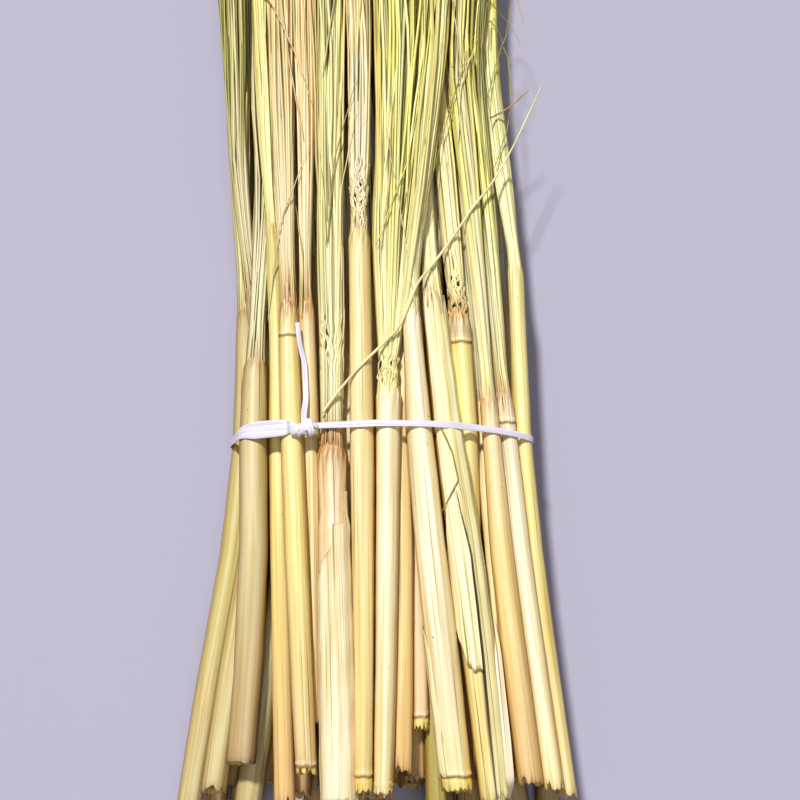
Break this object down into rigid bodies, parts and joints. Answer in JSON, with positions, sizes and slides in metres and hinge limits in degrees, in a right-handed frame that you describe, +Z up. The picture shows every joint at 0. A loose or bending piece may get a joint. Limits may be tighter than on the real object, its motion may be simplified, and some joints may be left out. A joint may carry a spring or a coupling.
{
  "type": "tied bunch of broomcorn stalks",
  "caption": "Flat-lying bunch of dry cut broomcorn stalks with long brush heads, tied round the stems with flat white plastic string.",
  "frame": {"origin": "middle of the bunch's outline on the surface it lies on", "axes": "+Y along the bunch from the cut ends to the brush tips, +X to the right seen from above with the tips away from the viewer, +Z up"},
  "size_m": [0.159, 0.627, 0.0617],
  "materials": {
    "dry_straw": "dry plant stem, satin, with fine lengthwise grain; pale yellow-green fibres",
    "white_string": "flat polypropylene string, slightly shiny, with lengthwise creases"
  },
  "bodies": {
    "root": {"stalk_01": "dry_straw", "stalk_02": "dry_straw", "stalk_03": "dry_straw", "stalk_04": "dry_straw", "stalk_05": "dry_straw", "stalk_06": "dry_straw", "stalk_07": "dry_straw", "stalk_08": "dry_straw", "stalk_09": "dry_straw", "stalk_10": "dry_straw", "stalk_11": "dry_straw", "stalk_12": "dry_straw", "stalk_13": "dry_straw", "stalk_14": "dry_straw", "stalk_15": "dry_straw", "stalk_16": "dry_straw", "stalk_17": "dry_straw", "stalk_18": "dry_straw", "stalk_19": "dry_straw", "stalk_20": "dry_straw", "stalk_21": "dry_straw", "stalk_22": "dry_straw", "stalk_23": "dry_straw", "stalk_24": "dry_straw", "stalk_25": "dry_straw", "stalk_26": "dry_straw", "stalk_27": "dry_straw", "stalk_28": "dry_straw", "stalk_29": "dry_straw", "stalk_30": "dry_straw", "stalk_31": "dry_straw", "stalk_32": "dry_straw", "stalk_33": "dry_straw", "stalk_34": "dry_straw", "stalk_35": "dry_straw", "stalk_36": "dry_straw", "stalk_37": "dry_straw", "stalk_38": "dry_straw", "stalk_39": "dry_straw", "stalk_40": "dry_straw", "stalk_41": "dry_straw", "stalk_42": "dry_straw", "stalk_43": "dry_straw", "stalk_44": "dry_straw", "stalk_45": "dry_straw", "stalk_46": "dry_straw", "stalk_47": "dry_straw", "stalk_48": "dry_straw", "stalk_49": "dry_straw", "tie": "white_string"}
  },
  "joints": []
}
